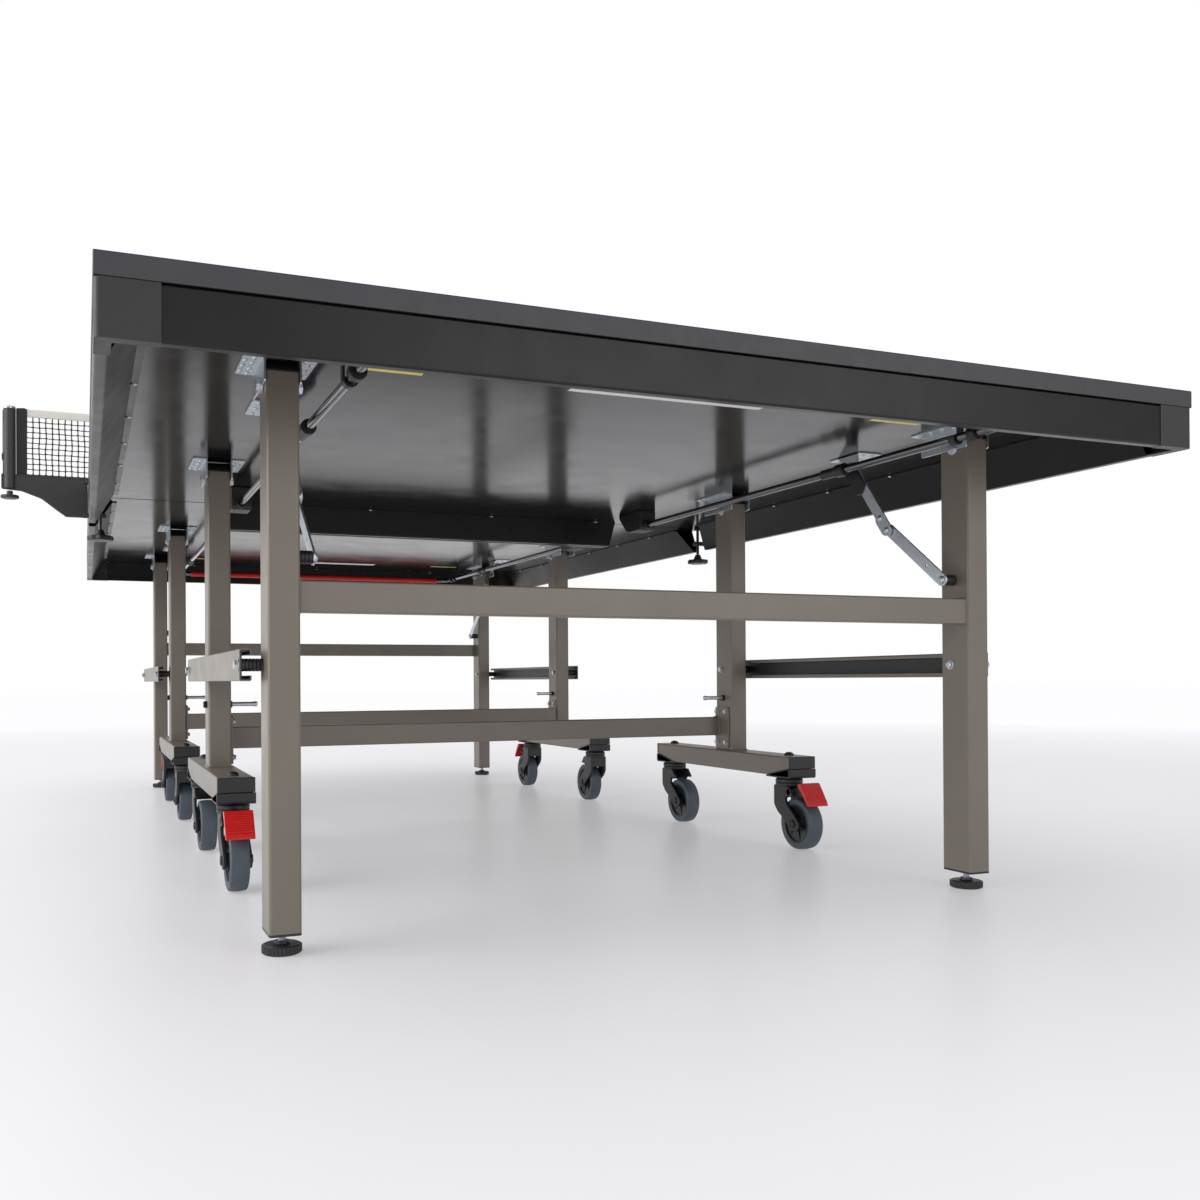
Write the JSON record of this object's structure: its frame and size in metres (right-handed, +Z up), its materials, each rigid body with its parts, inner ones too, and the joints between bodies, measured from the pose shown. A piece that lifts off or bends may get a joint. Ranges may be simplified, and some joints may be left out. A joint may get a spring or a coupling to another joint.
{
  "type": "ping pong table",
  "caption": "Competition ping pong table of two halves that fold upright over wheeled trolleys, with link bars, folding stays, braked casters, levelling feet and a clamp-on net.",
  "frame": {"origin": "on the floor, under the centre of the net line", "axes": "+X across the table, +Y along its length away from the near half, +Z up"},
  "size_m": [1.866, 2.74, 0.9135],
  "materials": {
    "frame_paint": "satin taupe-grey powder coat",
    "apron_paint": "satin dark charcoal powder coat",
    "table_top": "matt blue playing surface on a wooden board, dark lacquered underside and edges",
    "corner_plastic": "satin charcoal",
    "zinc": "zinc plated",
    "black_plastic": "satin black",
    "release_red": "red grip on steel rods",
    "brake_red": "gloss red",
    "tyre": "smooth grey-blue",
    "net_cord": "black knotted cord",
    "net_tape": "white woven tape",
    "board_lacquer": "glossy dark lacquer on the underside of the boards",
    "board_edge": "satin charcoal edging of the boards",
    "rod_steel": "bright steel rods and bolts",
    "rim_plastic": "black wheel rims",
    "label_plain": "blank labels",
    "line_paint": "matt white line paint"
  },
  "bodies": {
    "near_trolley": {"near_trolley_frame": "frame_paint", "near_trolley_stretcher": "frame_paint", "near_trolley_caps": "black_plastic", "near_trolley_pins": "zinc"},
    "near_top": {"near_board": "table_top", "near_apron": "apron_paint", "near_corner_caps": "corner_plastic", "near_hinge_brackets": "zinc", "near_bar_guides": "black_plastic", "net_posts": "black_plastic", "net_mesh": "net_cord"},
    "near_legs": {"near_leg_frame": "frame_paint", "near_leg_fittings": "black_plastic"},
    "near_links": {"near_link_bars": "frame_paint"},
    "near_stays_upper": {"near_stay_upper": "zinc"},
    "near_stays_lower": {"near_stay_lower": "zinc"},
    "near_release": {"near_release_bar": "release_red"},
    "near_caster_left_inner": {"near_fork_left_inner": "black_plastic"},
    "near_roller_left_inner": {"near_wheel_left_inner": "tyre"},
    "near_caster_left_outer": {"near_fork_left_outer": "black_plastic"},
    "near_roller_left_outer": {"near_wheel_left_outer": "tyre"},
    "near_pedal_left": {"near_brake_left": "brake_red"},
    "near_leveller_left": {"near_foot_left": "black_plastic"},
    "near_caster_right_inner": {"near_fork_right_inner": "black_plastic"},
    "near_roller_right_inner": {"near_wheel_right_inner": "tyre"},
    "near_caster_right_outer": {"near_fork_right_outer": "black_plastic"},
    "near_roller_right_outer": {"near_wheel_right_outer": "tyre"},
    "near_pedal_right": {"near_brake_right": "brake_red"},
    "near_leveller_right": {"near_foot_right": "black_plastic"},
    "far_trolley": {"far_trolley_frame": "frame_paint", "far_trolley_stretcher": "frame_paint", "far_trolley_caps": "black_plastic", "far_trolley_pins": "zinc"},
    "far_top": {"far_board": "table_top", "far_apron": "apron_paint", "far_corner_caps": "corner_plastic", "far_hinge_brackets": "zinc", "far_bar_guides": "black_plastic"},
    "far_legs": {"far_leg_frame": "frame_paint", "far_leg_fittings": "black_plastic"},
    "far_links": {"far_link_bars": "frame_paint"},
    "far_stays_upper": {"far_stay_upper": "zinc"},
    "far_stays_lower": {"far_stay_lower": "zinc"},
    "far_release": {"far_release_bar": "release_red"},
    "far_caster_left_inner": {"far_fork_left_inner": "black_plastic"},
    "far_roller_left_inner": {"far_wheel_left_inner": "tyre"},
    "far_caster_left_outer": {"far_fork_left_outer": "black_plastic"},
    "far_roller_left_outer": {"far_wheel_left_outer": "tyre"},
    "far_pedal_left": {"far_brake_left": "brake_red"},
    "far_leveller_left": {"far_foot_left": "black_plastic"},
    "far_caster_right_inner": {"far_fork_right_inner": "black_plastic"},
    "far_roller_right_inner": {"far_wheel_right_inner": "tyre"},
    "far_caster_right_outer": {"far_fork_right_outer": "black_plastic"},
    "far_roller_right_outer": {"far_wheel_right_outer": "tyre"},
    "far_pedal_right": {"far_brake_right": "brake_red"},
    "far_leveller_right": {"far_foot_right": "black_plastic"},
    "clamp_left": {"clamp_screw_left": "black_plastic"},
    "adjuster_left": {"height_screw_left": "black_plastic"},
    "clamp_right": {"clamp_screw_right": "black_plastic"},
    "adjuster_right": {"height_screw_right": "black_plastic"}
  },
  "joints": [
    {"name": "halves_apart", "type": "slide", "parent": "far_trolley", "child": "near_trolley", "axis": [0, -1, 0], "range_m": [0, 0.345]},
    {"name": "near_fold", "type": "hinge", "parent": "near_trolley", "child": "near_top", "pos_m": [0, -0.465, 0.702], "axis": [-1, 0, 0], "range_deg": [0, 78]},
    {"name": "near_legs_fold", "type": "hinge", "parent": "near_top", "child": "near_legs", "pos_m": [0, -1.143, 0.702], "axis": [-1, 0, 0], "range_deg": [-79, 0]},
    {"name": "near_links_fold", "type": "hinge", "parent": "near_trolley", "child": "near_links", "pos_m": [0, -0.455, 0.357], "axis": [-1, 0, 0], "range_deg": [0, 79]},
    {"name": "near_upper_stays_fold", "type": "hinge", "parent": "near_top", "child": "near_stays_upper", "pos_m": [0, -0.928, 0.71], "axis": [-1, 0, 0], "range_deg": [-108, 0]},
    {"name": "near_lower_stays_fold", "type": "hinge", "parent": "near_legs", "child": "near_stays_lower", "pos_m": [0, -1.14, 0.492], "axis": [-1, 0, 0], "range_deg": [0, 119]},
    {"name": "near_release_pull", "type": "slide", "parent": "near_top", "child": "near_release", "axis": [0, -1, 0], "range_m": [0, 0.02], "stiffness_N_per_m": 800},
    {"name": "near_swivel_left_inner", "type": "hinge", "parent": "near_trolley", "child": "near_caster_left_inner", "pos_m": [-0.545, -0.218, 0.13], "axis": [0, 0, 1], "continuous": true},
    {"name": "near_roll_left_inner", "type": "hinge", "parent": "near_caster_left_inner", "child": "near_roller_left_inner", "pos_m": [-0.545, -0.258, 0.05], "axis": [1, 0, 0], "continuous": true},
    {"name": "near_swivel_left_outer", "type": "hinge", "parent": "near_trolley", "child": "near_caster_left_outer", "pos_m": [-0.545, -0.673, 0.13], "axis": [0, 0, 1], "continuous": true},
    {"name": "near_roll_left_outer", "type": "hinge", "parent": "near_caster_left_outer", "child": "near_roller_left_outer", "pos_m": [-0.545, -0.713, 0.05], "axis": [1, 0, 0], "continuous": true},
    {"name": "near_brake_press_left", "type": "hinge", "parent": "near_caster_left_outer", "child": "near_pedal_left", "pos_m": [-0.545, -0.701, 0.112], "axis": [1, 0, 0], "range_deg": [0, 12]},
    {"name": "near_level_left", "type": "slide", "parent": "near_legs", "child": "near_leveller_left", "axis": [0, 0, 1], "range_m": [0, 0.008]},
    {"name": "near_swivel_right_inner", "type": "hinge", "parent": "near_trolley", "child": "near_caster_right_inner", "pos_m": [0.545, -0.218, 0.13], "axis": [0, 0, 1], "continuous": true},
    {"name": "near_roll_right_inner", "type": "hinge", "parent": "near_caster_right_inner", "child": "near_roller_right_inner", "pos_m": [0.545, -0.258, 0.05], "axis": [1, 0, 0], "continuous": true},
    {"name": "near_swivel_right_outer", "type": "hinge", "parent": "near_trolley", "child": "near_caster_right_outer", "pos_m": [0.545, -0.673, 0.13], "axis": [0, 0, 1], "continuous": true},
    {"name": "near_roll_right_outer", "type": "hinge", "parent": "near_caster_right_outer", "child": "near_roller_right_outer", "pos_m": [0.545, -0.713, 0.05], "axis": [1, 0, 0], "continuous": true},
    {"name": "near_brake_press_right", "type": "hinge", "parent": "near_caster_right_outer", "child": "near_pedal_right", "pos_m": [0.545, -0.701, 0.112], "axis": [1, 0, 0], "range_deg": [0, 12]},
    {"name": "near_level_right", "type": "slide", "parent": "near_legs", "child": "near_leveller_right", "axis": [0, 0, 1], "range_m": [0, 0.008]},
    {"name": "far_fold", "type": "hinge", "parent": "far_trolley", "child": "far_top", "pos_m": [0, 0.465, 0.702], "axis": [1, 0, 0], "range_deg": [0, 78]},
    {"name": "far_legs_fold", "type": "hinge", "parent": "far_top", "child": "far_legs", "pos_m": [0, 1.143, 0.702], "axis": [1, 0, 0], "range_deg": [-79, 0]},
    {"name": "far_links_fold", "type": "hinge", "parent": "far_trolley", "child": "far_links", "pos_m": [0, 0.455, 0.357], "axis": [1, 0, 0], "range_deg": [0, 79]},
    {"name": "far_upper_stays_fold", "type": "hinge", "parent": "far_top", "child": "far_stays_upper", "pos_m": [0, 0.928, 0.71], "axis": [1, 0, 0], "range_deg": [-108, 0]},
    {"name": "far_lower_stays_fold", "type": "hinge", "parent": "far_legs", "child": "far_stays_lower", "pos_m": [0, 1.14, 0.492], "axis": [1, 0, 0], "range_deg": [0, 119]},
    {"name": "far_release_pull", "type": "slide", "parent": "far_top", "child": "far_release", "axis": [0, 1, 0], "range_m": [0, 0.02], "stiffness_N_per_m": 800},
    {"name": "far_swivel_left_inner", "type": "hinge", "parent": "far_trolley", "child": "far_caster_left_inner", "pos_m": [-0.545, 0.218, 0.13], "axis": [0, 0, 1], "continuous": true},
    {"name": "far_roll_left_inner", "type": "hinge", "parent": "far_caster_left_inner", "child": "far_roller_left_inner", "pos_m": [-0.545, 0.258, 0.05], "axis": [1, 0, 0], "continuous": true},
    {"name": "far_swivel_left_outer", "type": "hinge", "parent": "far_trolley", "child": "far_caster_left_outer", "pos_m": [-0.545, 0.673, 0.13], "axis": [0, 0, 1], "continuous": true},
    {"name": "far_roll_left_outer", "type": "hinge", "parent": "far_caster_left_outer", "child": "far_roller_left_outer", "pos_m": [-0.545, 0.713, 0.05], "axis": [1, 0, 0], "continuous": true},
    {"name": "far_brake_press_left", "type": "hinge", "parent": "far_caster_left_outer", "child": "far_pedal_left", "pos_m": [-0.545, 0.701, 0.112], "axis": [-1, 0, 0], "range_deg": [0, 12]},
    {"name": "far_level_left", "type": "slide", "parent": "far_legs", "child": "far_leveller_left", "axis": [0, 0, 1], "range_m": [0, 0.008]},
    {"name": "far_swivel_right_inner", "type": "hinge", "parent": "far_trolley", "child": "far_caster_right_inner", "pos_m": [0.545, 0.218, 0.13], "axis": [0, 0, 1], "continuous": true},
    {"name": "far_roll_right_inner", "type": "hinge", "parent": "far_caster_right_inner", "child": "far_roller_right_inner", "pos_m": [0.545, 0.258, 0.05], "axis": [1, 0, 0], "continuous": true},
    {"name": "far_swivel_right_outer", "type": "hinge", "parent": "far_trolley", "child": "far_caster_right_outer", "pos_m": [0.545, 0.673, 0.13], "axis": [0, 0, 1], "continuous": true},
    {"name": "far_roll_right_outer", "type": "hinge", "parent": "far_caster_right_outer", "child": "far_roller_right_outer", "pos_m": [0.545, 0.713, 0.05], "axis": [1, 0, 0], "continuous": true},
    {"name": "far_brake_press_right", "type": "hinge", "parent": "far_caster_right_outer", "child": "far_pedal_right", "pos_m": [0.545, 0.701, 0.112], "axis": [-1, 0, 0], "range_deg": [0, 12]},
    {"name": "far_level_right", "type": "slide", "parent": "far_legs", "child": "far_leveller_right", "axis": [0, 0, 1], "range_m": [0, 0.008]},
    {"name": "clamp_release_left", "type": "slide", "parent": "near_top", "child": "clamp_left", "axis": [0, 0, -1], "range_m": [0, 0.012]},
    {"name": "net_height_left", "type": "hinge", "parent": "near_top", "child": "adjuster_left", "pos_m": [-0.915, -0.009, 0.727], "axis": [0, 0, 1], "continuous": true},
    {"name": "clamp_release_right", "type": "slide", "parent": "near_top", "child": "clamp_right", "axis": [0, 0, -1], "range_m": [0, 0.012]},
    {"name": "net_height_right", "type": "hinge", "parent": "near_top", "child": "adjuster_right", "pos_m": [0.915, -0.009, 0.727], "axis": [0, 0, 1], "continuous": true}
  ],
  "couplings": [
    {"joint": "near_legs_fold", "follows": "near_fold", "ratio": -1},
    {"joint": "near_links_fold", "follows": "near_fold", "ratio": 1},
    {"joint": "near_upper_stays_fold", "follows": "near_fold", "ratio": -1.3716},
    {"joint": "near_lower_stays_fold", "follows": "near_fold", "ratio": 1.5056},
    {"joint": "far_legs_fold", "follows": "far_fold", "ratio": -1},
    {"joint": "far_links_fold", "follows": "far_fold", "ratio": 1},
    {"joint": "far_upper_stays_fold", "follows": "far_fold", "ratio": -1.3716},
    {"joint": "far_lower_stays_fold", "follows": "far_fold", "ratio": 1.5056},
    {"joint": "halves_apart", "follows": "near_fold", "m_per_rad": 0.25}
  ]
}
